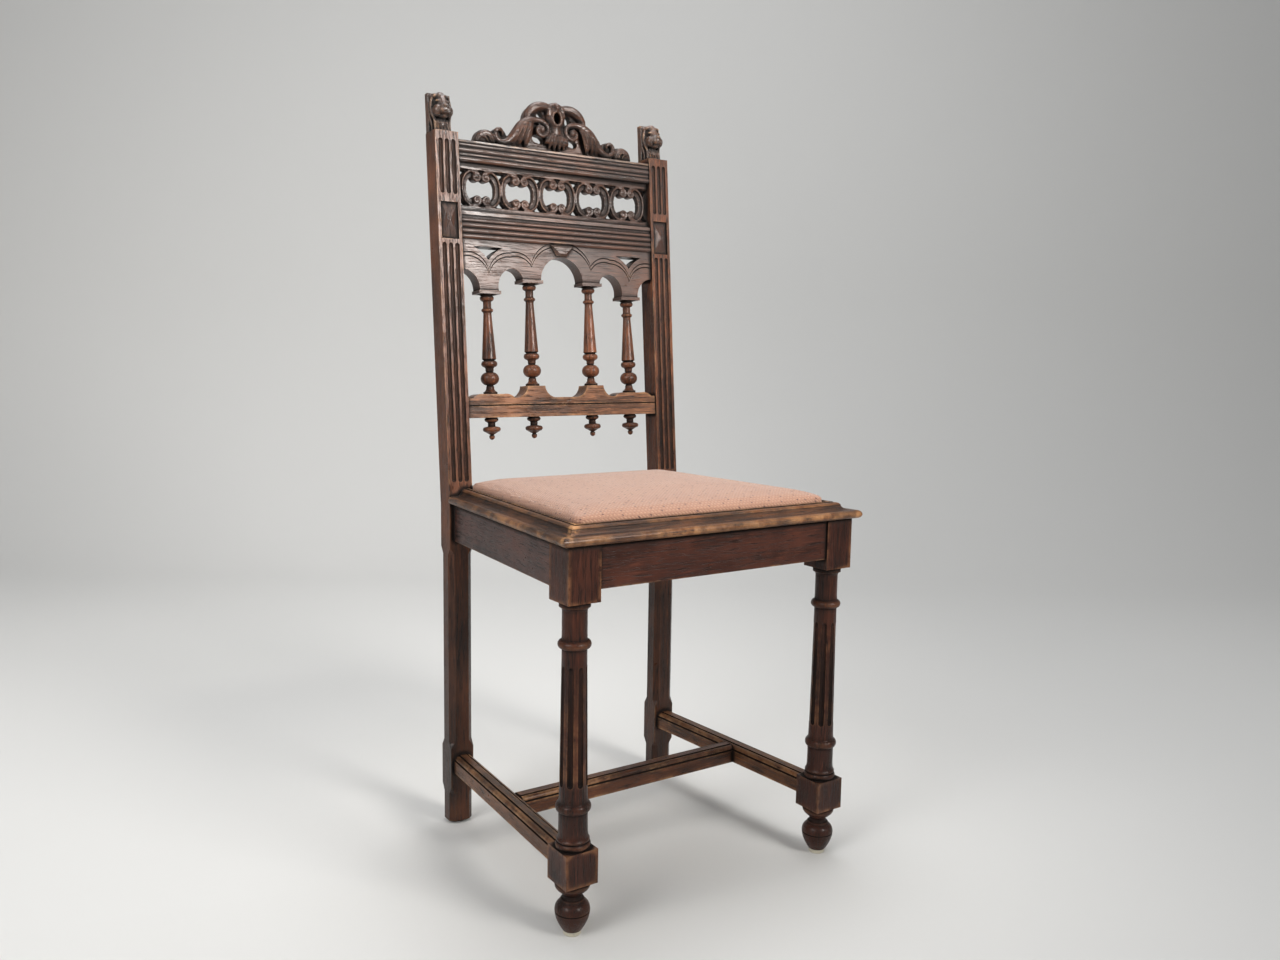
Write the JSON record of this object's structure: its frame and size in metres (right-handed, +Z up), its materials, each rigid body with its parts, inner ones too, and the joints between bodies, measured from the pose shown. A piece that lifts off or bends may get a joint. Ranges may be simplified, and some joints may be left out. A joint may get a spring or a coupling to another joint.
{
  "type": "dining chair",
  "caption": "Carved oak dining chair with a raked arcaded back, turned and fluted front legs, H stretchers and an upholstered drop-in seat.",
  "frame": {"origin": "on the floor under the middle of the overall box", "axes": "+Z up; the chair's front faces -Y; +X is to the right of someone standing in front of it"},
  "size_m": [0.4442, 0.4372, 1.0149],
  "materials": {
    "dark_oak": "dark stained and waxed, worn lighter on edges",
    "plain_beech": "unfinished",
    "seat_fabric": "woven, dusty pink",
    "jute_webbing": "woven jute",
    "hessian_cloth": "coarse weave",
    "white_felt": "felt",
    "dark_felt": "felt"
  },
  "bodies": {
    "frame": {"arcade_rail": "dark_oak", "corner_block_front_left": "plain_beech", "corner_block_front_right": "plain_beech", "corner_block_rear_left": "plain_beech", "corner_block_rear_right": "plain_beech", "crest": "dark_oak", "diamond_boss_left": "dark_oak", "diamond_boss_right": "dark_oak", "felt_front_left": "white_felt", "felt_front_right": "white_felt", "felt_rear_left": "dark_felt", "felt_rear_right": "dark_felt", "finial_left": "dark_oak", "finial_right": "dark_oak", "fret_panel": "dark_oak", "front_leg_left": "dark_oak", "front_leg_right": "dark_oak", "keystone": "dark_oak", "lower_back_rail": "dark_oak", "pendant_inner_left": "dark_oak", "pendant_inner_right": "dark_oak", "pendant_outer_left": "dark_oak", "pendant_outer_right": "dark_oak", "rear_post_left": "dark_oak", "rear_post_right": "dark_oak", "seat_back_strip": "dark_oak", "seat_bearer_back": "plain_beech", "seat_moulding_front": "dark_oak", "seat_moulding_left": "dark_oak", "seat_moulding_right": "dark_oak", "seat_rail_back": "dark_oak", "seat_rail_front": "dark_oak", "seat_rail_left": "dark_oak", "seat_rail_right": "dark_oak", "spindle_inner_left": "dark_oak", "spindle_inner_right": "dark_oak", "spindle_outer_left": "dark_oak", "spindle_outer_right": "dark_oak", "stretcher_centre": "dark_oak", "stretcher_left": "dark_oak", "stretcher_right": "dark_oak", "top_rail": "dark_oak"},
    "drop_in_seat": {"hessian": "hessian_cloth", "seat_frame_back": "plain_beech", "seat_frame_front": "plain_beech", "seat_frame_left": "plain_beech", "seat_frame_right": "plain_beech", "seat_pad": "seat_fabric", "seat_welt": "seat_fabric", "webbing_across": "jute_webbing", "webbing_along": "jute_webbing"}
  },
  "joints": [
    {"name": "seat_lift", "type": "slide", "parent": "frame", "child": "drop_in_seat", "axis": [0, 0, 1], "range_m": [0, 0.06]}
  ]
}
